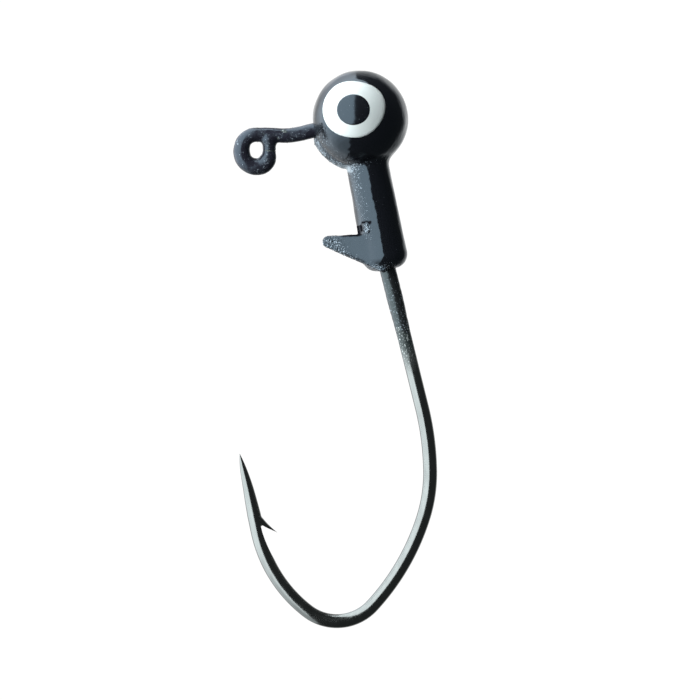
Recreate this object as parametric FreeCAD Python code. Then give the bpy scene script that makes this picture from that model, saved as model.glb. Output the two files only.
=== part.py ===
import FreeCAD, Part
import math
import os
from FreeCAD import Vector

# A round jig head for fishing: a lead ball with a collar and a bait keeper, cast round a bent
# hook wire and painted. Millimetres. The origin is the middle of the line eye. +Z runs up the
# collar's axis, so the ball is above and the hook hangs below. -X is the side of the line eye,
# the bait keeper and the hook point. The wire's own plane is y = 0, and so is the mould's
# parting plane.

# The hook wire. Angles are in degrees. Positive turns go anticlockwise, seen with +X to the
# right and +Z up.
WIRE_R = 1.15 / 2
EYE_R = 1.30                # the round side of the line eye, to the middle of the wire
EYE_IN, EYE_DOWN = 0.11, 0.035      # its centre, along the arm and below it, from the hole's
TAIL_R = 1.00               # the wire's end turns in more tightly,
TAIL_RUN = 0.98             # runs straight up to the arm
TAIL_END_R = 0.50           # and is a little thinner where it is cut
ARM_DROOP = 12.5            # the arm slopes down to the elbow by this, away from the line eye
ARM_RUN = 1.95              # line eye to elbow
ELBOW_R = 6.5
HOOK_CANT = 3.0             # the hook leans this much in the casting
HIDDEN_RUN = 2.445          # elbow to the bend inside the ball
HIDDEN_BEND_R = 1.6
SHANK_RUN = 22.33           # from the hidden bend to where the shank starts to curve
HOOK_BENDS = [(23.0, 13.1), (12.0, 18.4), (19.0, 25.1), (3.9, 84.9), (11.0, 40.1)]
POINT_RUN = 6.45            # the last straight stretch, up to the tip
POINT_TAPER = 5.0           # how much of it is ground to a point
POINT_MID_AT, POINT_MID_R = 0.66, 0.336  # its radius at this share of the taper
POINT_TIP_R = 0.04

# The barb, a chip raised from the wire. It is laid out from the hook's tip: how far back along
# the point, and how far from the wire's axis towards the inside of the hook.
BARB = [(5.30, 0.50), (5.42, 0.62), (6.80, 1.55), (6.84, 1.50), (5.98, 0.33), (5.80, 0.10)]
BARB_ROOT_HALF = 0.42
BARB_TIP_HALF = 0.07
BARB_PLAN_BEHIND, BARB_PLAN_HALF = 1.0, 0.67  # seen from above, where its sides start
BARB_PLAN_PAST = 0.1        # and how far beyond the tip they run
BARB_CUT = [(5.90, 0.33), (6.10, 0.37), (7.50, 0.50), (8.70, 0.80), (8.70, 1.40), (5.90, 1.40)]

# The casting, without its paint.
BALL_X, BALL_Z = 8.86, 0.88
BALL_ACROSS_R = 3.76
BALL_ALONG_R = 3.85
COLLAR_X = 8.70
COLLAR_TOP_Z, COLLAR_TOP_R = -1.1, 1.56
COLLAR_END_Z, COLLAR_END_R = -11.43, 1.75
COLLAR_END_ROUND = 1.05
KEEPER_TIP = (4.42, -8.44)  # middle of the round at the keeper's tip
KEEPER_TIP_R = 0.38
KEEPER_TOP_SLOPE = -8.0
KEEPER_RAMP_SLOPE = -34.6
KEEPER_RAMP_SHARE = 0.84    # how much of the way to the collar's axis the ramp runs
KEEPER_TIP_HALF = 0.25      # half the keeper's thickness at its tip
KEEPER_DRAFT = 14.0         # each side of the keeper leans out by this
FLASH_HEIGHT = 0.32         # the mould's flash, left between the arm and the collar
FLASH_HALF = 0.08
FLASH_FROM, FLASH_TO = 194.0, 247.0

# The paint.
PAINT = 0.10                # on the casting
WIRE_PAINT = 0.03           # on the arm and the line eye
EYE_HOLE_R = 0.56           # the hole in the line eye, evened out by the paint
EYE_WEB_R, EYE_WEB_HALF = 0.95, 0.20    # the paint that rounds the hole, inside the wire
SHANK_PAINT, SHANK_PAINT_EDGE = 0.09, 0.04
SHANK_PAINT_RUN, SHANK_PAINT_FADE = 3.6, 0.8
WHITE_X, WHITE_Z, WHITE_R, WHITE_PAINT = 8.52, 1.69, 2.45, 0.06
PUPIL_X, PUPIL_Z, PUPIL_R, PUPIL_PAINT = 8.45, 1.66, 1.30, 0.05

DEEP = 30.0                 # long enough to pass right through the casting
TAIL_PAINT_LAP = 0.2        # how far the paint on the wire's cut end runs into the arm's


def flat(x, z):
    """A point in the hook's plane."""
    return Vector(x, 0, z)


def heading(degrees):
    """The unit vector at this angle in the hook's plane."""
    turn = math.radians(degrees)
    return flat(math.cos(turn), math.sin(turn))


def straight(start, angle, length):
    """One straight stretch of wire: its edge, its end and its angle there."""
    end = start + heading(angle) * length
    return Part.LineSegment(start, end).toShape(), end, angle


def bend(start, angle, radius, turn):
    """One round stretch of wire: its edge, its end and its angle there."""
    side = 90 if turn > 0 else -90
    centre = start + heading(angle + side) * radius
    middle = centre - heading(angle + side + turn / 2) * radius
    end = centre - heading(angle + side + turn) * radius
    return Part.Arc(start, middle, end).toShape(), end, angle + turn


def walk(start, angle, steps):
    """The edges of a wire laid as runs (length,) and bends (radius, turn), with its end."""
    edges = []
    for step in steps:
        move = bend if len(step) == 2 else straight
        edge, start, angle = move(start, angle, *step)
        edges.append(edge)
    return edges, start, angle


def ring(centre, angle, radius):
    """A circle square to this angle."""
    return Part.Wire(Part.Circle(centre, heading(angle), radius).toShape())


def tube(start, angle, steps, radius, end_radius=None):
    """A round tube along a walk, thinning to end_radius where one is given."""
    edges, end, end_angle = walk(start, angle, steps)
    rings = [ring(start, angle, radius)]
    if end_radius:
        rings.append(ring(end, end_angle, end_radius))
    return Part.Wire(edges).makePipeShell(rings, True, False)


def prism(outline, half):
    """A flat outline in the hook's plane, thickened by half to each side."""
    face = Part.Face(Part.Wire(outline))
    face.translate(Vector(0, -half, 0))
    return face.extrude(Vector(0, 2 * half, 0))


def polygon(points):
    """The edges of a closed outline through these points."""
    return Part.makePolygon(points + points[:1]).Edges


def eye_bottom():
    """The lowest point of the line eye, where the wire's cut end starts to turn in."""
    return heading(-ARM_DROOP) * EYE_IN + heading(-90 - ARM_DROOP) * (EYE_R + EYE_DOWN)


def tail_steps(beyond=0):
    """The wire's cut end, from the bottom of the line eye up to the arm."""
    return [(TAIL_R, 90), (TAIL_RUN + beyond,)]


def arm_steps():
    """From the bottom of the line eye round its far side, along the arm and into the ball."""
    return [(EYE_R, -180), (ARM_RUN,), (ELBOW_R, ARM_DROOP + HOOK_CANT), (HIDDEN_RUN,)]


def shank_steps():
    """The hidden bend in the ball and the straight shank."""
    return [(HIDDEN_BEND_R, -90), (SHANK_RUN,)]


def hook_steps():
    """The whole wire from the bottom of the line eye to where the point is ground."""
    curves = [(radius, -turn) for radius, turn in HOOK_BENDS]
    return arm_steps() + shank_steps() + curves + [(POINT_RUN - POINT_TAPER,)]


def ground_point(start, angle):
    """The ground point of the hook: a round taper with slightly full sides."""
    side, tip = heading(angle - 90), start + heading(angle) * POINT_TAPER
    middle = start + heading(angle) * POINT_TAPER * POINT_MID_AT + side * POINT_MID_R
    outline = [
        Part.LineSegment(start, start + side * WIRE_R).toShape(),
        Part.Arc(start + side * WIRE_R, middle, tip + side * POINT_TIP_R).toShape(),
        Part.LineSegment(tip + side * POINT_TIP_R, tip).toShape(),
        Part.LineSegment(tip, start).toShape(),
    ]
    return Part.Face(Part.Wire(outline)).revolve(start, heading(angle), 360), tip


def from_tip(tip, angle, points):
    """Points given as distance back from the tip and out from the wire, in the hook's plane."""
    return [tip - heading(angle) * back + heading(angle - 90) * out for back, out in points]


def barb(tip, angle):
    """The barb: its side view, narrowed from its root to its tip."""
    points = from_tip(tip, angle, BARB)
    side_view = prism(polygon(points), BARB_ROOT_HALF)
    root, end = (points[0] + points[5]) * 0.5, (points[2] + points[3]) * 0.5
    along = (end - root).normalize()
    across = Vector(0, 1, 0)
    normal = along.cross(across)
    corners = [
        root - along * BARB_PLAN_BEHIND + across * BARB_PLAN_HALF,
        end + along * BARB_PLAN_PAST + across * BARB_TIP_HALF,
        end + along * BARB_PLAN_PAST - across * BARB_TIP_HALF,
        root - along * BARB_PLAN_BEHIND - across * BARB_PLAN_HALF,
    ]
    plan = Part.Face(Part.makePolygon(corners + corners[:1]))
    plan.translate(normal * (-DEEP / 2))
    return side_view.common(plan.extrude(normal * DEEP))


def make_hook():
    """The whole hook: one bent wire with its line eye, barb and ground point."""
    wire = tube(eye_bottom(), 180 - ARM_DROOP, hook_steps(), WIRE_R)
    tail = tube(eye_bottom(), -ARM_DROOP, tail_steps(), WIRE_R, TAIL_END_R)
    taper_start, point_angle = walk(eye_bottom(), 180 - ARM_DROOP, hook_steps())[1:]
    point, tip = ground_point(taper_start, point_angle)
    relief = prism(polygon(from_tip(tip, point_angle, BARB_CUT)), WIRE_R * 2)
    hook = wire.fuse([tail, point]).cut(relief).fuse(barb(tip, point_angle))
    return hook.removeSplitter(), tip


def ellipse_ball(grow):
    """The ball, a touch longer along the collar than across it."""
    centre = flat(BALL_X, BALL_Z)
    top, side = centre + flat(0, BALL_ALONG_R + grow), centre + flat(BALL_ACROSS_R + grow, 0)
    oval = Part.Ellipse(top, side, centre)
    half = Part.Arc(oval, math.pi, 2 * math.pi).toShape()
    ends = [vertex.Point for vertex in half.Vertexes]
    axis = Part.LineSegment(ends[1], ends[0]).toShape()
    return Part.Face(Part.Wire([half, axis])).revolve(centre, Vector(0, 0, 1), 360)


def collar(grow):
    """The collar, slightly wider at its end, which is rounded over."""
    end_z, end_r = COLLAR_END_Z - grow, COLLAR_END_R + grow
    rounding = COLLAR_END_ROUND + grow
    top = flat(COLLAR_X + COLLAR_TOP_R + grow, COLLAR_TOP_Z)
    round_top = flat(COLLAR_X + end_r, end_z + rounding)
    slant = math.sqrt(0.5) * rounding
    round_middle = flat(COLLAR_X + end_r - rounding + slant, end_z + rounding - slant)
    round_end = flat(COLLAR_X + end_r - rounding, end_z)
    outline = [
        Part.LineSegment(flat(COLLAR_X, COLLAR_TOP_Z), top).toShape(),
        Part.LineSegment(top, round_top).toShape(),
        Part.Arc(round_top, round_middle, round_end).toShape(),
        Part.LineSegment(round_end, flat(COLLAR_X, end_z)).toShape(),
        Part.LineSegment(flat(COLLAR_X, end_z), flat(COLLAR_X, COLLAR_TOP_Z)).toShape(),
    ]
    return Part.Face(Part.Wire(outline)).revolve(flat(COLLAR_X, 0), Vector(0, 0, 1), 360)


def keeper_side(grow):
    """The keeper seen from the side: a thorn with a round tip, running into the collar."""
    tip, tip_r = flat(*KEEPER_TIP), KEEPER_TIP_R + grow
    above, below = KEEPER_TOP_SLOPE + 90, KEEPER_RAMP_SLOPE - 90
    top = tip + heading(above) * tip_r
    ramp = tip + heading(below) * tip_r
    nose = tip + heading((above + below) / 2 + 180) * tip_r
    reach = COLLAR_X - KEEPER_TIP[0]
    top_root = top + heading(KEEPER_TOP_SLOPE) * reach
    ramp_root = ramp + heading(KEEPER_RAMP_SLOPE) * reach * KEEPER_RAMP_SHARE
    return [
        Part.Arc(top, nose, ramp).toShape(),
        Part.LineSegment(ramp, ramp_root).toShape(),
        Part.LineSegment(ramp_root, top_root).toShape(),
        Part.LineSegment(top_root, top).toShape(),
    ]


def keeper(grow):
    """The bait keeper: its side view, tapered from the collar to its tip."""
    tip_x = KEEPER_TIP[0] - KEEPER_TIP_R
    tip_half = KEEPER_TIP_HALF + grow
    root_half = tip_half + (COLLAR_X - tip_x) * math.tan(math.radians(KEEPER_DRAFT))
    corners = [
        Vector(tip_x - grow, tip_half, 0),
        Vector(COLLAR_X, root_half, 0),
        Vector(COLLAR_X, -root_half, 0),
        Vector(tip_x - grow, -tip_half, 0),
    ]
    plan = Part.Face(Part.makePolygon(corners + corners[:1]))
    plan.translate(Vector(0, 0, -DEEP / 2))
    return prism(keeper_side(grow), COLLAR_END_R).common(plan.extrude(Vector(0, 0, DEEP)))


def flash(grow):
    """A low fin of lead at the parting plane, where the two halves of the mould met."""
    centre, radius = flat(BALL_X, BALL_Z), BALL_ALONG_R + FLASH_HEIGHT + grow
    start, middle, end = (
        centre + heading(angle) * radius
        for angle in (FLASH_FROM, (FLASH_FROM + FLASH_TO) / 2, FLASH_TO)
    )
    outline = [
        Part.Arc(start, middle, end).toShape(),
        Part.LineSegment(end, centre).toShape(),
        Part.LineSegment(centre, start).toShape(),
    ]
    return prism(outline, FLASH_HALF + grow)


def head(grow):
    """The casting's outside, grown all over by a thickness of paint."""
    return ellipse_ball(grow).fuse([collar(grow), keeper(grow), flash(grow)]).removeSplitter()


def eye_loop_coat(hook, painted_head):
    """The paint on the arm and the line eye, which also closes the gap at the wire's cut end."""
    arm = tube(eye_bottom(), 180 - ARM_DROOP, arm_steps(), WIRE_R + WIRE_PAINT)
    tail = tube(
        eye_bottom(), -ARM_DROOP, tail_steps(beyond=TAIL_PAINT_LAP),
        WIRE_R + WIRE_PAINT, TAIL_END_R + WIRE_PAINT,
    )
    web = Part.makeCylinder(EYE_WEB_R, 2 * EYE_WEB_HALF, Vector(0, -EYE_WEB_HALF, 0), Vector(0, 1, 0))
    hole = Part.makeCylinder(EYE_HOLE_R, DEEP, Vector(0, -DEEP / 2, 0), Vector(0, 1, 0))
    return arm.fuse([tail, web]).cut(hole).cut(hook).cut(painted_head)


def shank_coat(hook, painted_head, start, angle):
    """The paint that ran a little way down the shank, thinning at its lower edge."""
    along = heading(angle)
    full, edge = WIRE_R + SHANK_PAINT, WIRE_R + SHANK_PAINT_EDGE
    sleeve = Part.makeCylinder(full, SHANK_PAINT_RUN, start, along)
    fade = Part.makeCone(full, edge, SHANK_PAINT_FADE, start + along * SHANK_PAINT_RUN, along)
    return sleeve.fuse(fade).cut(hook).cut(painted_head)


def eye_dot(side, x, z, radius, under, thickness):
    """A round dab of enamel on one side of the ball, on top of the paint under it."""
    skin = ellipse_ball(under + thickness).cut(ellipse_ball(under))
    pin = Part.makeCylinder(radius, DEEP, flat(x, z), Vector(0, side, 0))
    return skin.common(pin)


def shank_exit():
    """Where the wire comes out of the painted collar, and its angle there."""
    shank_top, shank_angle = walk(eye_bottom(), 180 - ARM_DROOP, arm_steps() + shank_steps()[:1])[1:]
    drop = shank_top.z - (COLLAR_END_Z - PAINT)
    return shank_top + heading(shank_angle) * (drop / math.cos(math.radians(HOOK_CANT))), shank_angle


def build():
    """Every piece of the jig head, by name."""
    hook, tip = make_hook()
    painted = head(PAINT)
    pieces = {
        "hook": hook,
        "head_casting": head(0).cut(hook),
        "head_coat": painted.cut(head(0)).cut(hook),
        "eye_loop_coat": eye_loop_coat(hook, painted),
        "shank_coat": shank_coat(hook, painted, *shank_exit()),
    }
    for name, side in (("left", 1), ("right", -1)):
        pieces[name + "_eye_white"] = eye_dot(side, WHITE_X, WHITE_Z, WHITE_R, PAINT, WHITE_PAINT)
        pieces[name + "_eye_pupil"] = eye_dot(
            side, PUPIL_X, PUPIL_Z, PUPIL_R, PAINT + WHITE_PAINT, PUPIL_PAINT
        )
    return pieces, tip


os.makedirs("parts", exist_ok=True)
pieces, tip = build()
for name, shape in pieces.items():
    shape.exportStep("parts/" + name + ".step")
    box = shape.BoundBox
    print(
        f"{name:16} solids {len(shape.Solids)} valid {shape.isValid()} {shape.Volume:9.3f} mm3 "
        f"x {box.XMin:.2f}..{box.XMax:.2f} y {box.YMin:.2f}..{box.YMax:.2f}",
        f"z {box.ZMin:.2f}..{box.ZMax:.2f}",
    )
print("hook tip", [round(value, 3) for value in tip])
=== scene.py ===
import math

import bpy
import numpy as np
from mathutils import Matrix, Vector


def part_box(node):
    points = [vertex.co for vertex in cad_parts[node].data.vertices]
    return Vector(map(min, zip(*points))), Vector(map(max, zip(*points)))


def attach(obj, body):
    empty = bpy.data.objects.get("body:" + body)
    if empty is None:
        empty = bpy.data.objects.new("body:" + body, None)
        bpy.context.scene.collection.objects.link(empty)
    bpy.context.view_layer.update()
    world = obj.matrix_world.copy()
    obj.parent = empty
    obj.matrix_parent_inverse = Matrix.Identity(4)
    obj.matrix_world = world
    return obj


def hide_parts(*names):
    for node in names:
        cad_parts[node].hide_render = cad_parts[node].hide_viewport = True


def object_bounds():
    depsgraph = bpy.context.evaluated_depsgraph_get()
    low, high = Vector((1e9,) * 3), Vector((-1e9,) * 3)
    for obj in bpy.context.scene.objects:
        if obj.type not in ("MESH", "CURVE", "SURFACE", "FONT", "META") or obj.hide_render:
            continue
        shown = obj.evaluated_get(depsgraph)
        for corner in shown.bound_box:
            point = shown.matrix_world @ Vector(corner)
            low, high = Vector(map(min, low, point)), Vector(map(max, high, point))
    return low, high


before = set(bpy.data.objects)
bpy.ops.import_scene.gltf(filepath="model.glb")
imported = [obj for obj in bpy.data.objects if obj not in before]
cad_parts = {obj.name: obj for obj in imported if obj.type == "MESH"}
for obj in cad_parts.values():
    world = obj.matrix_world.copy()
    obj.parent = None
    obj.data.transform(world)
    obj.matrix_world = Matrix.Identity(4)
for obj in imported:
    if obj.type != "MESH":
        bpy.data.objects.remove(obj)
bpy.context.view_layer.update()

# A painted jig head. Meshes are built in millimetres in the CAD's frame and scaled to metres at
# the end of their making. The hook lies in the plane y = 0, and outlines in that plane are given
# as (x, z).
MM = 0.001
SEED = 7

# The wire's route, as the CAD lays it: runs (length,) and bends (radius, turn in degrees). The
# turns in BEND_STEPS come from a least-squares fit, and their radii are rounded.
WIRE_R = 1.15 / 2
EYE_R, EYE_IN, EYE_DOWN = 1.30, 0.11, 0.035
TAIL_R, TAIL_RUN, TAIL_END_R = 1.00, 0.98, 0.50
ARM_DROOP, HOOK_CANT = 12.5, 3.0
ARM_STEPS = [(EYE_R, -180), (1.95,), (6.5, ARM_DROOP + HOOK_CANT), (2.445,)]
SHANK_STEPS = [(1.6, -90), (22.33,)]
BEND_STEPS = [(23.0, -13.1), (12.0, -18.4), (19.0, -25.1), (3.9, -84.9), (11.0, -40.1), (6.60,)]

# The ground point: how long it is, how far its tip leans outwards, and over what length. Its end
# is a needle: so much slimmer than the taper, over so much length.
POINT_TAPER, POINT_LEAN, POINT_LEAN_RUN = 5.1, 0.08, 3.2
NEEDLE_SLIMMER, NEEDLE_RUN = 0.70, 0.52

# The barb is laid out from a little behind the tip. Its root and end, as (back, towards the
# inside of the hook), then how thick it is at each, how wide, and how hollow its top is. The wire
# behind it is cut away: how far back, and how much of the wire is left from its middle.
BARB_BACK = 0.10
BARB_ROOT, BARB_END = (5.28, 0.57), (6.80, 1.54)
BARB_THICK, BARB_THIN = 0.60, 0.03
BARB_HALF, BARB_NARROWS, BARB_HOLLOW = 0.42, 0.33, 0.05
BARB_CUT_BACK = [5.95, 6.6, 7.6, 8.6, 9.3]
BARB_CUT_KEPT = [0.34, 0.37, 0.455, 0.54, 0.60]


def box_mm(node):
    """A CAD node's lowest and highest corners, in millimetres."""
    return [np.array(corner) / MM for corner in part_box(node)]


HEAD_LOW, HEAD_HIGH = box_mm("head_coat")
SHANK_COAT_LOW, _ = box_mm("shank_coat")
WHITE_LOW, WHITE_HIGH = box_mm("right_eye_white")
PUPIL_LOW, PUPIL_HIGH = box_mm("right_eye_pupil")

# The painted casting.
BALL_ACROSS_R, BALL_ALONG_R = 3.86, 3.95
BALL = np.array([HEAD_HIGH[0] - BALL_ACROSS_R, 0.0, HEAD_HIGH[2] - BALL_ALONG_R])
COLLAR_X = 8.70
COLLAR_TOP_Z, COLLAR_TOP_R = -1.1, 1.66
COLLAR_END_Z, COLLAR_END_R = HEAD_LOW[2], 1.85
COLLAR_END_ROUND, COLLAR_LEAN = 1.15, 0.07
KEEPER_TIP = np.array([4.42, -8.44])
KEEPER_TIP_R = 0.48
KEEPER_TOP_SLOPE, KEEPER_RAMP_SLOPE = math.radians(-8.0), math.radians(-34.6)
KEEPER_TIP_HALF, KEEPER_DRAFT, KEEPER_EDGE = 0.36, math.radians(14.0), 0.16

# The mould's marks: its flash on the ball, with the angles in degrees round the ball over which
# it rises and dies away, and the seam all along the casting.
FLASH_HEIGHT, FLASH_RISE, FLASH_FALL = 0.36, (184, 198), (238, 252)
SEAM_HEIGHT, SEAM_HALF = 0.012, 0.10

# Flaws of the casting and its paint, as (x, z): a pit over the keeper, and nibs of paint with
# their radii.
PIT, PIT_HALF_X, PIT_HALF_Z, PIT_DEPTH = (7.64, -7.92), 0.42, 0.48, 0.015
NIBS, NIB_Y = [(6.30, -8.12, 0.09), (6.05, -8.15, 0.06), (5.10, -8.30, 0.05)], -0.25

# The paint's radius along the wire from the bottom of the line eye, and from there up the cut
# end, which it laps over. At the far side of the eye the radius grows by the sag and its middle
# moves inwards as much, so that the paint is thicker on the inner side only.
ROUND_LENGTH = EYE_R * math.pi
ARM_PAINT_AT = [0, 0.8, 2.2, ROUND_LENGTH, ROUND_LENGTH + 2.0]
ARM_PAINT_R = [0.690, 0.665, 0.610, 0.590, 0.592]
ARM_PAINT_END_R = 0.605
TAIL_PAINT_AT = [0, 0.5, 1.0, 1.4, 1.85]
TAIL_PAINT_R = [0.690, 0.70, 0.700, 0.61, 0.515]
TAIL_PAINT_END_R, TAIL_PAINT_LAP = 0.54, 0.15
EYE_SAG, EYE_SAG_RUN = 0.065, 0.8

# The dots' outlines: the mean radius, then cosine and sine parts of once, twice and so on round.
# These numbers were made by a least-squares fit, not chosen by hand. Then how thick the dots are,
# over what width their rims are rounded, and how deep they are rooted.
WHITE_OUTLINE = [2.438, -0.047, 0.050, 0.121, -0.018, 0.026, 0.014, 0.014, 0.029]
PUPIL_OUTLINE = [1.299, -0.018, 0.040, 0.041, -0.017]
WHITE_THICK, WHITE_RIM = 0.07, 0.22
PUPIL_THICK, PUPIL_RIM = 0.04, 0.14
DOT_ROOT = 0.05

# The paint on the shank: how thick it is at its lower edge and how much more at its full body,
# and how far it feathers out beyond the CAD's.
SHANK_PAINT_EDGE, SHANK_PAINT_BODY, SHANK_FEATHER = 0.006, 0.084, 0.9

# Where the paint's stain on the bare shank starts to fade, where it ends, and how ragged it is.
STAIN_TOP_Z, STAIN_END_Z, STAIN_RAGGED = -17.7, -20.3, 2.8

# Colours that more than one material has.
BLACK = (0.0060, 0.0062, 0.0080, 1)
BLUE_TINT = (0.66, 0.87, 1.0, 1)


# ---------------------------------------------------------------- outlines and meshes

def heading(angle):
    """The unit direction at this angle in the hook's plane, in radians from +X towards +Z."""
    return np.array([math.cos(angle), math.sin(angle)])


def walk(start, angle, steps, spacing):
    """Points along a wire route, and the heading at each."""
    points, angles = [np.array(start, float)], [angle]
    for step in steps:
        if len(step) == 1:
            count = max(1, round(step[0] / spacing))
            for _ in range(count):
                points.append(points[-1] + heading(angle) * step[0] / count)
                angles.append(angle)
            continue
        radius, turn = step[0], math.radians(step[1])
        side = math.copysign(math.pi / 2, turn)
        centre = points[-1] + heading(angle + side) * radius
        count = max(4, round(radius * abs(turn) / spacing))
        for i in range(1, count + 1):
            now = angle + turn * i / count
            points.append(centre - heading(now + side) * radius)
            angles.append(now)
        angle += turn
    return np.array(points), np.array(angles)


def lengths(points):
    """The distance along a route at each of its points."""
    return np.r_[0, np.cumsum(np.linalg.norm(np.diff(points, axis=0), axis=1))]


def eye_bottom():
    """The lowest point of the line eye's wire."""
    droop = math.radians(ARM_DROOP)
    return heading(-droop) * EYE_IN + heading(-math.pi / 2 - droop) * (EYE_R + EYE_DOWN)


def tail_route(spacing, beyond=0.0):
    """The wire's cut end, from the bottom of the line eye up to the arm."""
    steps = [(TAIL_R, 90), (TAIL_RUN + beyond,)]
    return walk(eye_bottom(), -math.radians(ARM_DROOP), steps, spacing)


def wire_route(steps, spacing):
    """The wire from the bottom of the line eye, round its far side and on."""
    return walk(eye_bottom(), math.pi - math.radians(ARM_DROOP), steps, spacing)


def smooth_step(low, high, value):
    """0 below low, 1 above high, and smooth between them."""
    t = np.clip((value - low) / (high - low), 0, 1)
    return t * t * (3 - 2 * t)


def between(rise, fall, value):
    """1 between a smooth rise and a smooth fall, each given as (start, end), and 0 outside them."""
    return smooth_step(*rise, value) * (1 - smooth_step(*fall, value))


def mesh_object(name, vertices, faces):
    """A new object from vertices in millimetres."""
    mesh = bpy.data.meshes.new(name)
    mesh.from_pydata([tuple(v) for v in vertices], [], [tuple(f) for f in faces])
    mesh.update()
    piece = bpy.data.objects.new(name, mesh)
    bpy.context.scene.collection.objects.link(piece)
    return piece


def vertices_of(piece):
    """A mesh's vertices as an array."""
    flat = np.zeros(len(piece.data.vertices) * 3)
    piece.data.vertices.foreach_get("co", flat)
    return flat.reshape(-1, 3)


def set_vertices(piece, points):
    """Moves a mesh's vertices."""
    piece.data.vertices.foreach_set("co", np.asarray(points, float).ravel())
    piece.data.update()


def ring_faces(rings, around):
    """The faces of a tube of rings, with a fan over each end."""
    faces = []
    for i in range(rings - 1):
        for j in range(around):
            k = (j + 1) % around
            faces.append((i * around + j, i * around + k, (i + 1) * around + k, (i + 1) * around + j))
    first, last = rings * around, rings * around + 1
    for j in range(around):
        k = (j + 1) % around
        faces.append((first, k, j))
        faces.append((last, (rings - 1) * around + j, (rings - 1) * around + k))
    return faces


def sweep(name, points, angles, radii, around, cut=None):
    """A tube along a route in the hook's plane. cut may change how far to the left of the route
    a ring's vertices lie."""
    turn = np.arange(around) * 2 * math.pi / around
    vertices = []
    for i, (point, angle, radius) in enumerate(zip(points, angles, radii)):
        normal = heading(angle + math.pi / 2)
        leftward, across = radius * np.cos(turn), radius * np.sin(turn)
        if cut:
            leftward = cut(i, leftward)
        for out, side in zip(leftward, across):
            vertices.append((point[0] + normal[0] * out, side, point[1] + normal[1] * out))
    vertices += [(points[0][0], 0, points[0][1]), (points[-1][0], 0, points[-1][1])]
    return mesh_object(name, vertices, ring_faces(len(points), around))


def apply_modifiers(piece):
    """Replaces a piece's mesh by what its modifiers make of it."""
    graph = bpy.context.evaluated_depsgraph_get()
    mesh = bpy.data.meshes.new_from_object(piece.evaluated_get(graph))
    piece.modifiers.clear()
    piece.data = mesh
    return piece


def joined(name, pieces):
    """One object from several, which are removed."""
    vertices, faces = [], []
    for piece in pieces:
        base = len(vertices)
        vertices += [tuple(v.co) for v in piece.data.vertices]
        faces += [tuple(base + i for i in polygon.vertices) for polygon in piece.data.polygons]
        bpy.data.objects.remove(piece)
    return mesh_object(name, vertices, faces)


def voxel_skin(piece, voxel):
    """Remeshes overlapping closed forms to one even skin."""
    modifier = piece.modifiers.new("remesh", "REMESH")
    modifier.mode = "VOXEL"
    modifier.voxel_size = voxel
    return apply_modifiers(piece)


def relax(piece, rounds):
    """Evens a mesh out a little."""
    modifier = piece.modifiers.new("smooth", "SMOOTH")
    modifier.factor = 0.5
    modifier.iterations = rounds
    return apply_modifiers(piece)


def onto(piece, distance, rounds=6):
    """Moves vertices along the gradient of a distance function until they lie where it is 0."""
    points = vertices_of(piece)
    nudge_size, longest_move, least_gradient = 0.01, 0.2, 0.05
    for _ in range(rounds):
        here = distance(points)
        gradient = np.stack(
            [(distance(points + nudge) - distance(points - nudge)) / (2 * nudge_size)
             for nudge in np.eye(3) * nudge_size], axis=1)
        size = np.maximum((gradient ** 2).sum(axis=1), least_gradient)
        move = np.clip(here, -longest_move, longest_move)
        points = points - gradient * (move / size)[:, None]
    set_vertices(piece, points)
    return piece


def shaped_skin(rough, voxel, distance):
    """An even skin over rough closed forms, drawn onto where a distance function is 0."""
    piece = onto(voxel_skin(rough, voxel), distance)
    return onto(relax(piece, 2), distance, 3)


def raise_skin(piece, heights):
    """Moves each vertex out along its normal."""
    points = vertices_of(piece)
    normals = np.zeros(points.size)
    piece.data.vertices.foreach_get("normal", normals)
    set_vertices(piece, points + normals.reshape(-1, 3) * heights[:, None])


def finish_piece(piece, body, nodes, material, sharp=None):
    """Scales a piece to metres, shades it smooth and hangs it on its body."""
    piece.data.transform(Matrix.Scale(MM, 4))
    for polygon in piece.data.polygons:
        polygon.use_smooth = True
    if sharp:
        piece.data.set_sharp_from_angle(angle=math.radians(sharp))
    piece.data.materials.clear()
    piece.data.materials.append(material)
    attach(piece, body)
    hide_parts(*nodes)


# ---------------------------------------------------------------- distances, in millimetres

def soft_union(one, other, blend):
    """The smaller of two distances, with a fillet of about this size between them."""
    near = np.maximum(blend - np.abs(one - other), 0) / np.maximum(blend, 1e-9)
    return np.minimum(one, other) - near * near * blend * 0.25


def rounded_overlap(one, other, radius):
    """Where two distances overlap, with the edge between them rounded."""
    one, other = one + radius, other + radius
    outside = np.hypot(np.maximum(one, 0), np.maximum(other, 0))
    return outside + np.minimum(np.maximum(one, other), 0) - radius


def round_ball(p):
    """Seen along Y: the angle in degrees round the ball, and how far out in the ball's radii."""
    across, along = p[:, 0] - BALL[0], p[:, 2] - BALL[2]
    return np.degrees(np.arctan2(along, across)) % 360, np.hypot(across, along) / BALL_ACROSS_R


def seam_height(p):
    """The fine seam of the mould, in the hook's plane."""
    return SEAM_HEIGHT * np.exp(-(p[:, 1] / SEAM_HALF) ** 2)


def flash_height(p):
    """How far the mould's flash stands out of the ball: a soft swelling with a fin on it."""
    angle, _ = round_ball(p)
    off = np.abs(p[:, 1])
    section = 0.8 * (1 - smooth_step(0.15, 1.0, off)) + 0.2 * (1 - smooth_step(0.1, 0.3, off))
    return FLASH_HEIGHT * between(FLASH_RISE, FLASH_FALL, angle) * section + seam_height(p)


def ball_distance(p):
    """To the painted ball with its flash."""
    q = p - BALL
    radii = np.array([BALL_ACROSS_R, BALL_ACROSS_R, BALL_ALONG_R])
    one = np.linalg.norm(q / radii, axis=1)
    two = np.maximum(np.linalg.norm(q / radii ** 2, axis=1), 1e-6)
    return one * (one - 1) / two - flash_height(p)


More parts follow.
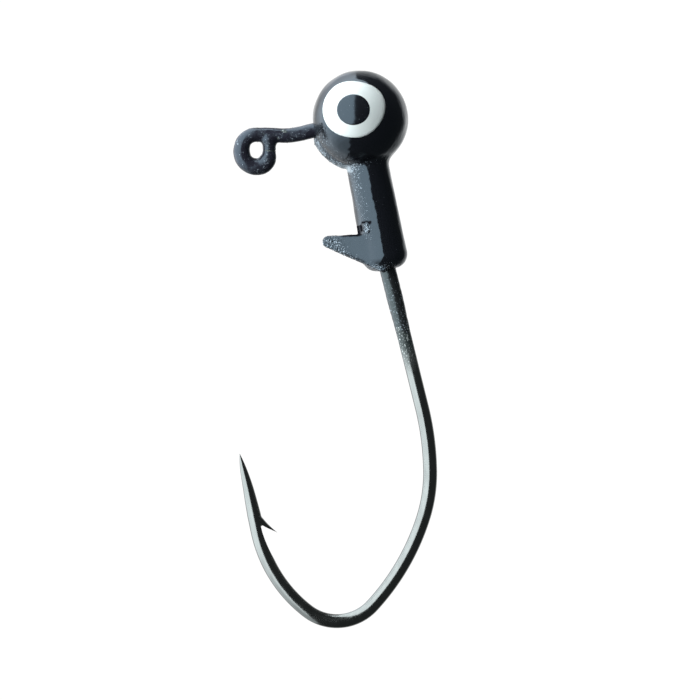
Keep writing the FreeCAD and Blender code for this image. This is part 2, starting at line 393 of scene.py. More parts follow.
def collar_distance(p):
    """To the painted collar, which widens towards its rounded end and is a little out of round."""
    widening = (COLLAR_END_R - COLLAR_TOP_R) / (COLLAR_TOP_Z - COLLAR_END_Z)
    out = np.hypot(p[:, 0] - COLLAR_X, p[:, 1])
    lean = COLLAR_LEAN * np.sin(2 * np.arctan2(p[:, 0] - COLLAR_X, -p[:, 1]))
    side = out - (COLLAR_TOP_R + (COLLAR_TOP_Z - p[:, 2]) * widening) - lean
    end = np.maximum(COLLAR_END_Z - p[:, 2], p[:, 2] - COLLAR_TOP_Z)
    return rounded_overlap(side - seam_height(p), end, COLLAR_END_ROUND)


def keeper_edges(p):
    """How far each place is outside the keeper's top edge and its ramp, seen along Y."""
    q = p[:, [0, 2]] - KEEPER_TIP
    top = q @ heading(KEEPER_TOP_SLOPE + math.pi / 2) - KEEPER_TIP_R
    ramp = q @ heading(KEEPER_RAMP_SLOPE - math.pi / 2) - KEEPER_TIP_R
    return top, ramp


def keeper_distance(p):
    """To the painted bait keeper: a thorn with a round tip and drafted sides."""
    q = p[:, [0, 2]] - KEEPER_TIP
    before_tip = (q @ heading(KEEPER_TOP_SLOPE) < 0) & (q @ heading(KEEPER_RAMP_SLOPE) < 0)
    top, ramp = keeper_edges(p)
    view = np.where(before_tip, np.linalg.norm(q, axis=1) - KEEPER_TIP_R, np.maximum(top, ramp))
    widening = math.tan(KEEPER_DRAFT)
    half = KEEPER_TIP_HALF + np.maximum(p[:, 0] - KEEPER_TIP[0] + KEEPER_TIP_R, 0) * widening
    side = (np.abs(p[:, 1]) - half) * math.cos(KEEPER_DRAFT)
    return np.maximum(rounded_overlap(view, side, KEEPER_EDGE), p[:, 0] - COLLAR_X)


def lumps(p, size, seed):
    """A smooth random field of about -1 to 1, with lumps of this size."""
    random = np.random.default_rng(seed)
    field = np.zeros(len(p))
    for _ in range(12):
        way = random.normal(size=3)
        way *= random.uniform(0.7, 1.4) * 2 * math.pi / size / np.linalg.norm(way)
        field += np.sin(p @ way + random.uniform(0, 2 * math.pi))
    return field / 12 ** 0.5


def pit_shape(p):
    """The pit's crumbled middle and the groove over it, as masks. It is on the near side only."""
    across, along = (p[:, 0] - PIT[0]) / PIT_HALF_X, (p[:, 2] - PIT[1]) / PIT_HALF_Z
    away = np.hypot(across, along)
    ragged = away + 0.16 * lumps(p, 0.55, seed=5)
    over = (along - 0.5 * across) / np.maximum(away, 0.1)
    near_side = 1 - smooth_step(-1.0, -0.6, p[:, 1])
    middle = 1 - smooth_step(0.5, 0.95, ragged)
    groove = np.exp(-((ragged - 1.06) / 0.28) ** 2) * smooth_step(-0.3, 0.4, over)
    return middle * near_side, groove * near_side


def head_distance(p):
    """To the whole painted casting."""
    fillet = np.interp(p[:, 0] - COLLAR_X, [-0.5, 1.2], [0.24, 0.60])
    body = soft_union(ball_distance(p), collar_distance(p), fillet)
    whole = soft_union(body, keeper_distance(p), 0.14)
    middle, groove = pit_shape(p)
    crumbs = 0.06 * np.abs(lumps(p, 0.42, seed=6)) + 0.035 * lumps(p, 0.2, seed=7)
    whole = whole + PIT_DEPTH * groove - crumbs * middle
    for x, z, radius in NIBS:
        nib = np.linalg.norm(p - np.array([x, NIB_Y, z]), axis=1) - radius
        whole = soft_union(whole, nib, 0.08)
    return whole - 0.012 * lumps(p, 1.6, seed=3) - 0.0025 * lumps(p, 0.5, seed=4)


def grit_and_painted_light_at(p):
    """How gritty the painted casting is at each place, 0 to 1. Above 1 it has a painted pale
    highlight on the flash's rim, and below 0 painted shade in hollows, where its shine is cut."""
    x, y, z = p.T
    top, ramp = keeper_edges(p)
    tip = np.exp(-(((x - 4.6) / 0.9) ** 2 + ((z + 8.8) / 0.6) ** 2))
    along_ramp = smooth_step(-0.75, -0.1, ramp) * (x < COLLAR_X - 0.6)
    strip = np.exp(-((x - COLLAR_X + 1.0) / 0.55) ** 2) * (y < 0)
    strip = strip * between((-10.0, -8.5), (-2.9, -2.4), z)
    neck = np.exp(-((z + 2.75) / 0.4) ** 2)
    end = 1 - smooth_step(-11.35, -10.7, z)
    angle, out = round_ball(p)
    low_left = between((185, 200), (245, 260), angle)
    rim = low_left * smooth_step(0.72, 0.92, out)
    arm_root = np.exp(-((x - 5.1) ** 2 + (z - 0.3) ** 2))
    crater, groove = pit_shape(p)
    grit_and_painted_light = (tip + 0.7 * along_ramp + 0.68 * strip + 0.45 * neck + 0.7 * end + 0.5 * rim
            + 0.35 * crater + 0.6 * arm_root)
    # Painted highlight: the lower left of the flash's rim is painted pale, in place of the backdrop's
    # reflection there.
    pale_rim_highlight = low_left * between((0.98, 1.06), (1.12, 1.18), out) * (x < 7.4)
    pale_rim_highlight = pale_rim_highlight * np.clip(0.75 + 0.35 * lumps(p, 0.9, seed=12), 0, 1)
    # Painted shade: in the pit's groove and along the keeper's top ledge the paint's shine is cut.
    ledge = smooth_step(-0.22, -0.10, top) * between((5.0, 5.8), (7.0, 7.4), x) * (z < -7.6)
    painted_shade = np.clip(1.3 * groove + 0.9 * ledge, 0, 1)
    return np.clip(grit_and_painted_light, 0, 1) * (1 - painted_shade) + pale_rim_highlight - painted_shade


def set_grit_and_painted_light(piece, values):
    """Records how gritty a mesh's vertices are, with any painted highlight and shade, for its material.
    """
    piece.data.attributes.new("grit_and_painted_light", "FLOAT", "POINT").data.foreach_set("value", values)


def route_distance(points, radii):
    """A function that gives the distance to a tube along this route."""
    points = np.c_[points[:, 0], np.zeros(len(points)), points[:, 1]]

    def distance(p):
        nearest = np.full(len(p), 1e9)
        for start in range(0, len(points), 64):
            block, r = points[start:start + 64], radii[start:start + 64]
            gaps = np.linalg.norm(p[:, None, :] - block[None, :, :], axis=2) - r[None, :]
            nearest = np.minimum(nearest, gaps.min(axis=1))
        return nearest
    return distance


# ---------------------------------------------------------------- the hook

def barb_mesh(tip, angle):
    """The barb: a chip of the round wire, raised out of the inside of the point."""
    back, inside = -heading(angle), heading(angle - math.pi / 2)
    root, end = [tip + back * along + inside * off for along, off in (BARB_ROOT, BARB_END)]
    way = end - root
    up = np.array([-way[1], way[0]]) / np.linalg.norm(way)
    up = up * math.copysign(1, up @ inside)
    vertices, across_count = [], 17
    stations = np.r_[np.linspace(-0.30, 0.9, 13), 0.95, 0.985, 1.0]
    for t in stations:
        depth = np.clip(BARB_THICK * (1 - t), BARB_THIN, BARB_THICK)
        chord = math.sqrt(WIRE_R ** 2 - (WIRE_R - depth) ** 2)
        half = min(chord, BARB_HALF - BARB_NARROWS * max(t, 0))
        top = root + way * t - up * BARB_HOLLOW * math.sin(math.pi * np.clip(t, 0, 1))
        sides = np.linspace(-half, half, across_count)
        for side in sides:
            spot = top - up * (WIRE_R - math.sqrt(WIRE_R ** 2 - side ** 2))
            vertices.append((spot[0], side, spot[1]))
        for side in sides[::-1]:
            spot = top - up * depth
            vertices.append((spot[0], side * 0.98, spot[1]))
    in_wire = root + way * stations[0] - up * BARB_THICK / 2
    vertices += [(in_wire[0], 0, in_wire[1]), (end[0], 0, end[1])]
    return mesh_object("barb", vertices, ring_faces(len(stations), across_count * 2))


def make_hook():
    """The bent wire with its eye, ground point, the cut behind the barb, and the barb."""
    points, angles = wire_route(ARM_STEPS + SHANK_STEPS + BEND_STEPS, 0.11)
    travelled = lengths(points)
    to_tip = travelled[-1] - travelled
    radii = WIRE_R * np.minimum(1, (to_tip / POINT_TAPER) ** 0.5)
    radii = radii * (1 - NEEDLE_SLIMMER * np.exp(-to_tip / NEEDLE_RUN))
    radii = radii - 0.012 * np.exp(-((to_tip - POINT_TAPER) / 0.9) ** 2)
    radii = np.maximum(radii, 0.012)
    barb_from, barb_angle = points[-1] - heading(angles[-1]) * BARB_BACK, angles[-1]
    lean = POINT_LEAN * (1 - smooth_step(0.0, POINT_LEAN_RUN, to_tip))
    points = points + np.stack([heading(a + math.pi / 2) for a in angles]) * lean[:, None]

    def barb_cut(i, leftward):
        back = to_tip[i] - BARB_BACK
        if BARB_CUT_BACK[0] < back < BARB_CUT_BACK[-1]:
            return np.maximum(leftward, -np.interp(back, BARB_CUT_BACK, BARB_CUT_KEPT))
        return leftward

    wire = sweep("hook_wire", points, angles, radii, 56, barb_cut)
    tail_points, tail_angles = tail_route(0.08)
    thin = np.linspace(WIRE_R, TAIL_END_R, len(tail_points))
    tail = sweep("tail", tail_points, tail_angles, thin, 56)
    for extra in (tail, barb_mesh(barb_from, barb_angle)):
        union = wire.modifiers.new("union", "BOOLEAN")
        union.operation = "UNION"
        union.solver = "EXACT"
        union.object = extra
        apply_modifiers(wire)
        bpy.data.objects.remove(extra)
    return wire


# ---------------------------------------------------------------- the painted head

def lathe(name, x, profile, around=96):
    """A closed turned form about an upright axis, from (radius, z) pairs."""
    turn = np.arange(around) * 2 * math.pi / around
    vertices = []
    for radius, z in profile:
        vertices += [(x + radius * math.cos(t), radius * math.sin(t), z) for t in turn]
    vertices += [(x, 0, profile[0][1]), (x, 0, profile[-1][1])]
    return mesh_object(name, vertices, ring_faces(len(profile), around))


def rough_head():
    """Overlapping plain forms close to the painted casting, for the remesh to start from."""
    turns = np.linspace(0.02, math.pi - 0.02, 60)
    ball = lathe("ball", BALL[0], [
        (BALL_ACROSS_R * math.sin(t), BALL[2] - BALL_ALONG_R * math.cos(t)) for t in turns])
    collar = lathe("collar", COLLAR_X, [
        (COLLAR_END_R - 0.5, COLLAR_END_Z), (COLLAR_END_R, COLLAR_END_Z + 0.8), (COLLAR_TOP_R, 0.0)])
    tip_x, tip_z = KEEPER_TIP
    corners = [
        (tip_x - 0.4, tip_z + 0.3, KEEPER_TIP_HALF), (tip_x - 0.4, tip_z - 0.2, KEEPER_TIP_HALF),
        (COLLAR_X, tip_z - 3.0, 1.4), (COLLAR_X, tip_z, 1.4)]
    vertices = [(x, side * half, z) for side in (-1, 1) for x, z, half in corners]
    faces = [(0, 1, 2, 3), (7, 6, 5, 4), (0, 4, 5, 1), (1, 5, 6, 2), (2, 6, 7, 3), (3, 7, 4, 0)]
    return joined("head_paint", [ball, collar, mesh_object("keeper", vertices, faces)])


def make_head():
    """The painted casting's skin, rough with grit in places, but hardly so in its outline."""
    head = shaped_skin(rough_head(), 0.075, head_distance)
    points = vertices_of(head)
    grit_and_painted_light = grit_and_painted_light_at(points)
    random = np.random.default_rng(SEED)
    bumps = 0.010 * random.normal(size=len(points)) + 0.045 * (random.random(len(points)) > 0.95)
    in_outline = 1 - smooth_step(0.3, 1.2, np.abs(points[:, 1]))
    off_keeper = smooth_step(6.0, 6.8, points[:, 0])
    raise_skin(head, bumps * np.clip(grit_and_painted_light, 0, 1) * (1 - 0.85 * in_outline * off_keeper))
    set_grit_and_painted_light(head, grit_and_painted_light)
    return head


# ---------------------------------------------------------------- the painted arm and line eye

def make_eye_loop():
    """The paint on the arm and line eye, pooled at the bottom and round the wire's cut end."""
    spacing = 0.05
    points, angles = wire_route(ARM_STEPS, spacing)
    along = lengths(points)
    radii = np.interp(along, ARM_PAINT_AT + [along[-1]], ARM_PAINT_R + [ARM_PAINT_END_R])
    sag = EYE_SAG * np.exp(-((along - ROUND_LENGTH / 2) / EYE_SAG_RUN) ** 2)
    points[:, 0] += sag
    radii += sag
    outside = np.hypot(points[:, 0] - BALL[0], points[:, 1] - BALL[2]) >= BALL_ACROSS_R - 0.5
    points, angles, radii = points[outside], angles[outside], radii[outside]
    tail_points, tail_angles = tail_route(spacing, beyond=TAIL_PAINT_LAP)
    up_tail = lengths(tail_points)
    tail_radii = np.interp(
        up_tail, TAIL_PAINT_AT + [up_tail[-1]], TAIL_PAINT_R + [TAIL_PAINT_END_R])
    arm_distance = route_distance(points, radii)
    tail_distance = route_distance(tail_points, tail_radii)
    corner = tail_points[-1]

    def distance(p):
        near = np.exp(-((p[:, 0] - corner[0]) ** 2 + (p[:, 2] - corner[1]) ** 2) / 0.9 ** 2)
        wire = soft_union(arm_distance(p), tail_distance(p), 0.62 * near)
        return wire - 0.012 * lumps(p, 1.3, seed=8) - 0.005 * lumps(p, 0.45, seed=9)

    rough_arm = sweep("rough_arm", points, angles, radii, 32)
    rough_tail = sweep("rough_tail", tail_points, tail_angles, tail_radii, 32)
    loop = shaped_skin(joined("eye_loop_paint", [rough_arm, rough_tail]), 0.05, distance)
    random = np.random.default_rng(SEED + 1)
    points = vertices_of(loop)
    grit_and_painted_light = np.clip(0.35 + 0.5 * lumps(points, 1.0, seed=11), 0, 0.8)
    raise_skin(loop, 0.035 * (random.random(len(points)) > 0.992) * grit_and_painted_light)
    set_grit_and_painted_light(loop, grit_and_painted_light)
    return loop


# ---------------------------------------------------------------- the paint on the shank

def make_shank_paint():
    """A thin sleeve of paint with a ragged, feathered lower edge, grittier lower down."""
    points, angles = wire_route(ARM_STEPS + SHANK_STEPS, 0.05)
    z_top, z_low = COLLAR_END_Z + 0.15, SHANK_COAT_LOW[2] - SHANK_FEATHER
    shank = (points[:, 1] < z_top) & (points[:, 1] > z_low)
    points, angles = points[shank], angles[shank]
    share = (points[:, 1] - z_low) / (z_top - z_low)
    radii = WIRE_R + SHANK_PAINT_EDGE + SHANK_PAINT_BODY * smooth_step(0.0, 0.55, share)
    around = 56
    sleeve = sweep("shank_paint", points, angles, radii, around)
    spots = vertices_of(sleeve)
    low = np.clip(1 - (spots[:, 2] - z_low) / 1.2, 0, 1)
    spots[:, 2] += 0.35 * low * lumps(spots * [1, 1, 0], 0.8, seed=21)
    skin = lumps(spots, 0.5, seed=22)[:-2] * 0.010
    centre = np.repeat(points, around, axis=0)
    spots[:-2, 0] += (spots[:-2, 0] - centre[:, 0]) * skin
    spots[:-2, 1] *= 1 + skin
    set_vertices(sleeve, spots)
    set_grit_and_painted_light(sleeve, 0.40 + 0.45 * np.clip((z_top - spots[:, 2]) / (z_top - z_low), 0, 1))
    return sleeve


# ---------------------------------------------------------------- the eyes

def dot(name, side, centre, outline, base, thickness, edge):
    """A dab of enamel on the ball: a crowned skin with a rounded rim, closed underneath."""
    around, rings = 144, 30
    vertices = []
    radii = np.array([BALL_ACROSS_R, BALL_ALONG_R])

    def reach(turn):
        parts = [wave(k * turn) for k in range(1, 5) for wave in (math.cos, math.sin)]
        return outline[0] + sum(size * part for size, part in zip(outline[1:], parts))

    def height(x, z, above):
        grown = radii + above
        inside = 1 - ((x - BALL[0]) / grown[0]) ** 2 - ((z - BALL[2]) / grown[1]) ** 2
        return grown[0] * math.sqrt(max(inside, 0))

    shares = np.linspace(1 / rings, 1, rings) ** 0.8
    for share, over in [(s, True) for s in shares] + [(s, False) for s in shares[::-1]]:
        for j in range(around):
            turn = 2 * math.pi * j / around
            x = centre[0] + reach(turn) * share * math.cos(turn)
            z = centre[1] + reach(turn) * share * math.sin(turn)
            rim = (1 - share) * outline[0] / edge
            crown = thickness * math.sqrt(1 - max(0, 1 - rim) ** 2) if over else -DOT_ROOT
            vertices.append((x, side * height(x, z, base + crown), z))
    top = height(*centre, base + thickness)
    vertices.append((centre[0], side * top, centre[1]))
    vertices.append((centre[0], side * height(*centre, base - DOT_ROOT), centre[1]))
    return mesh_object(name, vertices, ring_faces(2 * rings, around))


def make_eyes():
    """The white and black dots on both sides of the ball, each with its CAD node and material."""
    white_centre = (WHITE_LOW + WHITE_HIGH)[[0, 2]] / 2
    pupil_centre = (PUPIL_LOW + PUPIL_HIGH)[[0, 2]] / 2
    dots = []
    for name, side in (("right", -1), ("left", 1)):
        white = dot(name + "_white_dot", side, white_centre, WHITE_OUTLINE, 0.0, WHITE_THICK, WHITE_RIM)
        dots.append((white, name + "_eye_white", "white_enamel"))
        pupil = dot(
            name + "_pupil_dot", side, pupil_centre, PUPIL_OUTLINE, WHITE_THICK, PUPIL_THICK, PUPIL_RIM)
        dots.append((pupil, name + "_eye_pupil", "black_enamel"))
    return dots


# ---------------------------------------------------------------- materials

def new_material(name):
    """A material with its node tree, its shader and a function that adds a node to it."""
    material = bpy.data.materials.new(name)
    material.use_nodes = True
    tree = material.node_tree
    shader = tree.nodes["Principled BSDF"]

    def add(kind, **values):
        node = tree.nodes.new(kind)
        for key, value in values.items():
            if key in node.inputs:
                node.inputs[key].default_value = value
            else:
                setattr(node, key, value)
        return node
    return material, tree.links, shader, add


def noise(links, add, place, **values):
    """A noise over the given coordinates."""
    field = add("ShaderNodeTexNoise", **values)
    links.new(place, field.inputs["Vector"])
    return field.outputs["Fac"]


def ranged(links, add, value, start, end, low=0.0, high=1.0):
    """Goes from low to high as the value goes from start to end, and is level beyond them."""
    sizes = {"From Min": start, "From Max": end, "To Min": low, "To Max": high}
    node = add("ShaderNodeMapRange", **sizes)
    links.new(value, node.inputs["Value"])
    return node.outputs["Result"]


def weighted(links, add, value, weight, other):
    """The value times a weight, plus another value."""
    node = add("ShaderNodeMath", operation="MULTIPLY_ADD")
    node.inputs[1].default_value = weight
    links.new(value, node.inputs[0])
    links.new(other, node.inputs[2])
    return node.outputs["Value"]


def specks(links, add, place, scale, level, grit_and_painted_light=None):
    """A mask of scattered fine specks: 1 on a speck. A higher level leaves fewer of them, and
    grit, where given, makes them denser."""
    value = noise(links, add, place, Scale=scale, Detail=2.0, Roughness=0.6)
    if grit_and_painted_light:
        value = weighted(links, add, grit_and_painted_light, 0.21, value)
    return ranged(links, add, value, level, level + 0.05)


def mixed(links, add, factor, one, other):
    """One colour turning into another as factor goes from 0 to 1."""
    mix = add("ShaderNodeMix", data_type="RGBA")
    links.new(factor, mix.inputs["Factor"])
    for socket, value in ((mix.inputs[6], one), (mix.inputs[7], other)):
        if isinstance(value, tuple):
            socket.default_value = value
        else:
            links.new(value, socket)
    return mix.outputs[2]


def relief(links, add, shader, height, strength, depth):
    """Gives a shader's surface a fine relief."""
    bump = add("ShaderNodeBump", Strength=strength, Distance=depth)
    links.new(height, bump.inputs["Height"])
    links.new(bump.outputs["Normal"], shader.inputs["Normal"])


def paint_material(name, base, tint, shine, orange_peel):
    """Glossy black baked paint with orange peel. Where it is gritty it has specks and is duller, above
    1 it is painted pale as a painted highlight, and below 0 its shine is cut as painted shade."""
    material, links, shader, add = new_material(name)
    shader.inputs["Specular Tint"].default_value = tint
    place = add("ShaderNodeTexCoord").outputs["Object"]
    grit_and_painted_light = add("ShaderNodeAttribute", attribute_name="grit_and_painted_light").outputs["Fac"]
    gritty = ranged(links, add, grit_and_painted_light, 0.0, 1.0)
    # Above 1 the grit attribute carries a painted highlight: the paint turns pale there.
    pale_rim_highlight = ranged(links, add, grit_and_painted_light, 1.0, 2.0)
    dust = specks(links, add, place, 8500.0, 0.76, gritty)
    body = mixed(links, add, pale_rim_highlight, base, (0.27, 0.30, 0.31, 1))
    colour = mixed(links, add, dust, body, (0.30, 0.35, 0.38, 1))
    links.new(colour, shader.inputs["Base Color"])
    roughness = ranged(links, add, grit_and_painted_light, 0.0, 1.0, shine, shine + 0.22)
    links.new(roughness, shader.inputs["Roughness"])
    # Below 0 the grit attribute carries painted shade: the specular fades out there.
    specular_with_painted_shade = ranged(links, add, grit_and_painted_light, -0.8, 0.0, 0.0, 0.5)
    links.new(specular_with_painted_shade, shader.inputs["Specular IOR Level"])
    peel = noise(links, add, place, Scale=1100.0, Detail=3.0, Roughness=0.5)
    relief(links, add, shader, weighted(links, add, dust, 0.5, peel), orange_peel, 0.00004)
    return material


def wire_material():
    """Black nickel plate over drawn steel, stained by the paint where the shank leaves it."""
    material, links, shader, add = new_material("black_nickel")
    place = add("ShaderNodeTexCoord").outputs["Object"]
    stretch = add("ShaderNodeMapping", Scale=(1.0, 1.0, 0.25))
    links.new(place, stretch.inputs["Vector"])
    grain = noise(links, add, stretch.outputs["Vector"], Scale=2600.0, Detail=4.0)
    parts = add("ShaderNodeSeparateXYZ")
    links.new(place, parts.inputs["Vector"])
    ragged = weighted(links, add, grain, STAIN_RAGGED * MM, parts.outputs["Z"])
    end, top = [(z + STAIN_RAGGED / 2) * MM for z in (STAIN_END_Z, STAIN_TOP_Z)]
    stain = ranged(links, add, ragged, end, top)
    dust = specks(links, add, place, 7000.0, 0.58)
    film = mixed(links, add, dust, (0.034, 0.044, 0.041, 1), (0.36, 0.39, 0.37, 1))
    plate = mixed(links, add, grain, (0.121, 0.127, 0.119, 1), (0.195, 0.205, 0.191, 1))
    links.new(mixed(links, add, stain, plate, film), shader.inputs["Base Color"])
    for socket, bare, stained in (("Metallic", 1.0, 0.15), ("Specular IOR Level", 0.5, 0.22)):
        links.new(ranged(links, add, stain, 0.0, 1.0, bare, stained), shader.inputs[socket])
    dull = weighted(links, add, stain, 1.5, grain)
    links.new(ranged(links, add, dull, 0.0, 2.0, 0.12, 0.36), shader.inputs["Roughness"])
    relief(links, add, shader, grain, 0.20, 0.00002)
    return material


def enamel_material(name, colour, speck, tint, shine):
    """Glossy brushed-on enamel with a little dust in it."""
    material, links, shader, add = new_material(name)
    shader.inputs["Specular Tint"].default_value = tint
    place = add("ShaderNodeTexCoord").outputs["Object"]
    dust = specks(links, add, place, 8500.0, 0.69)
    links.new(mixed(links, add, dust, colour, speck), shader.inputs["Base Color"])
    peel = noise(links, add, place, Scale=1500.0, Detail=3.0)
    links.new(ranged(links, add, peel, 0.0, 1.0, shine, shine + 0.12), shader.inputs["Roughness"])
    relief(links, add, shader, peel, 0.12, 0.00003)
    return material


def lead_material():
    """Cast lead, under the paint."""
    material, links, shader, add = new_material("cast_lead")
    shader.inputs["Metallic"].default_value = 1.0
    place = add("ShaderNodeTexCoord").outputs["Object"]
    cloud = noise(links, add, place, Scale=3500.0, Detail=6.0)
    ramp = add("ShaderNodeValToRGB")
    ramp.color_ramp.elements[0].color = (0.04, 0.042, 0.045, 1)
    ramp.color_ramp.elements[1].color = (0.13, 0.135, 0.14, 1)
    links.new(cloud, ramp.inputs["Fac"])
    links.new(ramp.outputs["Color"], shader.inputs["Base Color"])
    links.new(ranged(links, add, cloud, 0.0, 1.0, 0.40, 0.60), shader.inputs["Roughness"])
    return material


# ---------------------------------------------------------------- studio

# The view: its roll, the directions in it, how wide it is, where it looks and from how far.
VIEW_ROLL = math.radians(10.92)
RIGHT = Vector((math.cos(VIEW_ROLL), 0, -math.sin(VIEW_ROLL)))
UP = Vector((math.sin(VIEW_ROLL), 0, math.cos(VIEW_ROLL)))
FRONT = Vector((0, -1, 0))
VIEW_WIDTH = 0.056875
TARGET = Vector((4.470, 0, -17.388)) * MM
CAMERA_DISTANCE = 2.0

# The tent: its light, how soft its edge is, and how far to the left the edge draws back in front of
# the jig, above it and below it. Straight overhead the edge reaches over to the right instead.
TENT_LIGHT, TENT_EDGE = 4.45, 0.012
DRAWN_BACK_FRONT, DRAWN_BACK_ABOVE, DRAWN_BACK_BELOW = 0.235, 0.070, 0.38
REACH_OVERHEAD = 0.26

# The light of the backdrop as the jig reflects it, of the sky over it as a share of that, of the
# whole room, and of the background as the camera sees it.
BACKDROP_LIGHT, SKY_SHARE, ROOM_LIGHT, SEEN_LIGHT = 0.95, 0.75, 0.09, 1.05


def facing(direction, up):
    """The rotation of a camera or light that looks along direction."""
    back = -direction.normalized()
    side = up.cross(back).normalized()
    return Matrix((side, back.cross(side), back)).transposed().to_4x4()


def make_camera():
    """A long lens square to the hook's plane, rolled as the jig hangs in the view."""
    data = bpy.data.cameras.new("camera")
    data.sensor_width = 36.0
    data.lens = data.sensor_width * CAMERA_DISTANCE / VIEW_WIDTH
    data.clip_start = 0.01
    camera = bpy.data.objects.new("camera", data)
    camera.matrix_world = Matrix.Translation(TARGET + FRONT * CAMERA_DISTANCE) @ facing(-FRONT, UP)
    bpy.context.scene.collection.objects.link(camera)
    bpy.context.scene.camera = camera


def make_lights():
    """A weak soft light over the lens, which lifts the darkest parts."""
    data = bpy.data.lights.new("front_fill", "AREA")
    data.shape = "RECTANGLE"
    data.size, data.size_y = 0.4, 0.4
    data.energy = 0.02
    light = bpy.data.objects.new("front_fill", data)
    place = Matrix.Translation(TARGET + FRONT * 0.8 + UP * 0.5)
    light.matrix_world = place @ facing(-FRONT - UP * 0.6, UP)
    light.visible_camera = False
    bpy.context.scene.collection.objects.link(light)


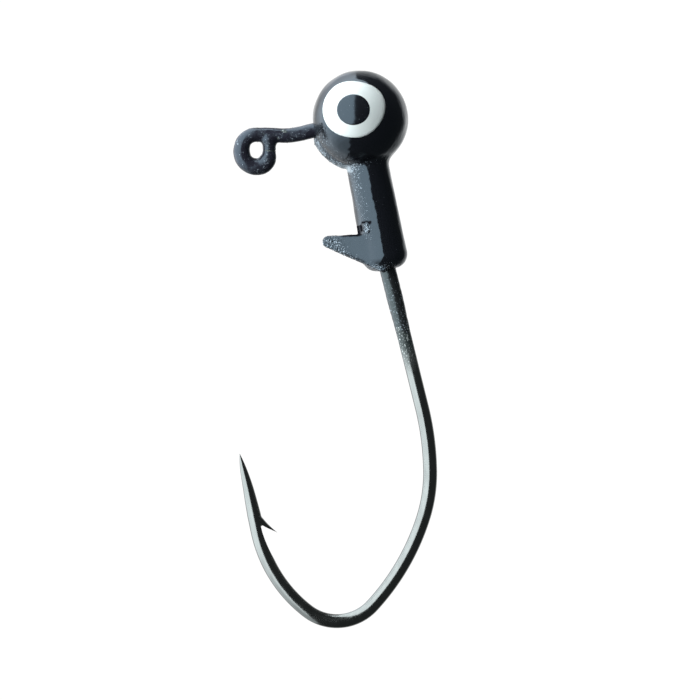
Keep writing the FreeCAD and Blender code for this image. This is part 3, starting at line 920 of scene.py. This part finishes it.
def make_world():
    """A tent of soft light on the left of the jig and over its left half, dimmer low down and
    towards the back, with a white backdrop behind, bluer light high on the backdrop's left, and
    dark studio on the right."""
    world = bpy.data.worlds.new("studio")
    bpy.context.scene.world = world
    world.use_nodes = True
    nodes, links = world.node_tree.nodes, world.node_tree.links
    place = nodes.new("ShaderNodeTexCoord")

    def along(axis):
        node = nodes.new("ShaderNodeVectorMath")
        node.operation = "DOT_PRODUCT"
        links.new(place.outputs["Generated"], node.inputs[0])
        node.inputs[1].default_value = axis
        return node.outputs["Value"]

    def combine(operation, one, other):
        node = nodes.new("ShaderNodeMath")
        node.operation = operation
        for socket, value in zip(node.inputs, (one, other)):
            if isinstance(value, float):
                socket.default_value = value
            else:
                links.new(value, socket)
        return node.outputs["Value"]

    def fade(value, start, end, low, high):
        node = nodes.new("ShaderNodeMapRange")
        node.interpolation_type = "SMOOTHSTEP"
        links.new(value, node.inputs["Value"])
        sizes = {"From Min": start, "From Max": end, "To Min": low, "To Max": high}
        for socket, number in sizes.items():
            node.inputs[socket].default_value = number
        return node.outputs["Result"]

    def background(colour, strength):
        node = nodes.new("ShaderNodeBackground")
        node.inputs["Color"].default_value = colour
        if isinstance(strength, float):
            node.inputs["Strength"].default_value = strength
        else:
            links.new(strength, node.inputs["Strength"])
        return node.outputs["Background"]

    def both(one, other):
        node = nodes.new("ShaderNodeAddShader")
        links.new(one, node.inputs[0])
        links.new(other, node.inputs[1])
        return node.outputs["Shader"]

    right, up, front = along(RIGHT), along(UP), along(FRONT)
    down = combine("MULTIPLY", up, -1.0)
    edge = right
    for way, share in ((front, DRAWN_BACK_FRONT), (up, DRAWN_BACK_ABOVE), (down, DRAWN_BACK_BELOW)):
        edge = combine("ADD", edge, combine("MULTIPLY", combine("MAXIMUM", way, 0.0), share))
    overhead = combine("MULTIPLY", fade(front, -0.32, -0.18, 0.0, 1.0), fade(front, 0.1, 0.35, 1.0, 0.0))
    reach = combine("MULTIPLY", overhead, fade(up, 0.84, 0.94, 0.0, REACH_OVERHEAD))
    edge = combine("SUBTRACT", edge, reach)
    tent = fade(edge, -TENT_EDGE, TENT_EDGE, TENT_LIGHT, 0.0)
    tent = combine("MULTIPLY", tent, fade(front, -0.81, -0.30, 0.0, 1.0))
    tent = combine("MULTIPLY", tent, fade(up, -0.90, -0.20, 0.30, 1.0))
    backdrop = fade(front, -0.85, -0.42, BACKDROP_LIGHT, 0.0)
    backdrop = combine("MULTIPLY", backdrop, fade(up, -0.9, -0.3, 0.6, 1.0))
    sky = combine("MULTIPLY", backdrop, fade(up, 0.15, 0.60, 0.0, SKY_SHARE))
    sky = combine("MULTIPLY", sky, fade(right, -0.22, 0.0, 1.0, 0.0))
    studio = both(background((0.87, 0.93, 1.0, 1), tent), background((1.0, 1.0, 1.0, 1), backdrop))
    studio = both(studio, background((0.61, 0.77, 1.0, 1), sky))
    studio = both(studio, background((0.85, 0.93, 1.0, 1), ROOM_LIGHT))
    path = nodes.new("ShaderNodeLightPath")
    seen = nodes.new("ShaderNodeMixShader")
    links.new(path.outputs["Is Camera Ray"], seen.inputs["Fac"])
    links.new(studio, seen.inputs[1])
    links.new(background((1.0, 1.0, 1.0, 1), SEEN_LIGHT), seen.inputs[2])
    links.new(seen.outputs["Shader"], nodes["World Output"].inputs["Surface"])
    bpy.context.scene.view_settings.view_transform = "Standard"


def make_floor():
    """A plain pale floor under the jig."""
    low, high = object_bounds()
    middle = (Vector(low) + Vector(high)) / 2
    level, half = low[2] - 0.03, 1.5
    signs = ((-1, -1), (1, -1), (1, 1), (-1, 1))
    corners = [(middle.x + half * across, middle.y + half * deep, level) for across, deep in signs]
    floor = mesh_object("floor", corners, [(0, 1, 2, 3)])
    material, _, shader, _ = new_material("pale_floor")
    shader.inputs["Base Color"].default_value = (0.9, 0.9, 0.9, 1)
    shader.inputs["Roughness"].default_value = 0.9
    shader.inputs["Emission Color"].default_value = (1, 1, 1, 1)
    shader.inputs["Emission Strength"].default_value = 0.7
    floor.data.materials.append(material)
    floor.visible_glossy = False
    floor.visible_diffuse = False


# ---------------------------------------------------------------- the whole

make_camera()
make_lights()
make_world()
make_floor()

black = paint_material("black_paint", BLACK, BLUE_TINT, 0.10, 0.25)
pooled = paint_material("black_paint_pooled", (0.017, 0.016, 0.023, 1), BLUE_TINT, 0.18, 0.30)
thin = paint_material(
    "black_paint_thin", (0.015, 0.016, 0.016, 1), (0.74, 0.93, 0.93, 1), 0.18, 0.30)
enamels = {
    "white_enamel": enamel_material(
        "white_enamel", (0.60, 0.64, 0.60, 1), (0.72, 0.76, 0.72, 1), (1, 1, 1, 1), 0.30),
    "black_enamel": enamel_material(
        "black_enamel", BLACK, (0.12, 0.14, 0.15, 1), BLUE_TINT, 0.08),
}
finish_piece(make_hook(), "root", ["hook"], wire_material(), sharp=35)
finish_piece(make_head(), "root", ["head_coat"], black)
finish_piece(make_eye_loop(), "root", ["eye_loop_coat"], pooled)
finish_piece(make_shank_paint(), "root", ["shank_coat"], thin)
for piece, node, slot in make_eyes():
    finish_piece(piece, "root", [node], enamels[slot])

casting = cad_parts["head_casting"]
casting.data.materials.clear()
casting.data.materials.append(lead_material())
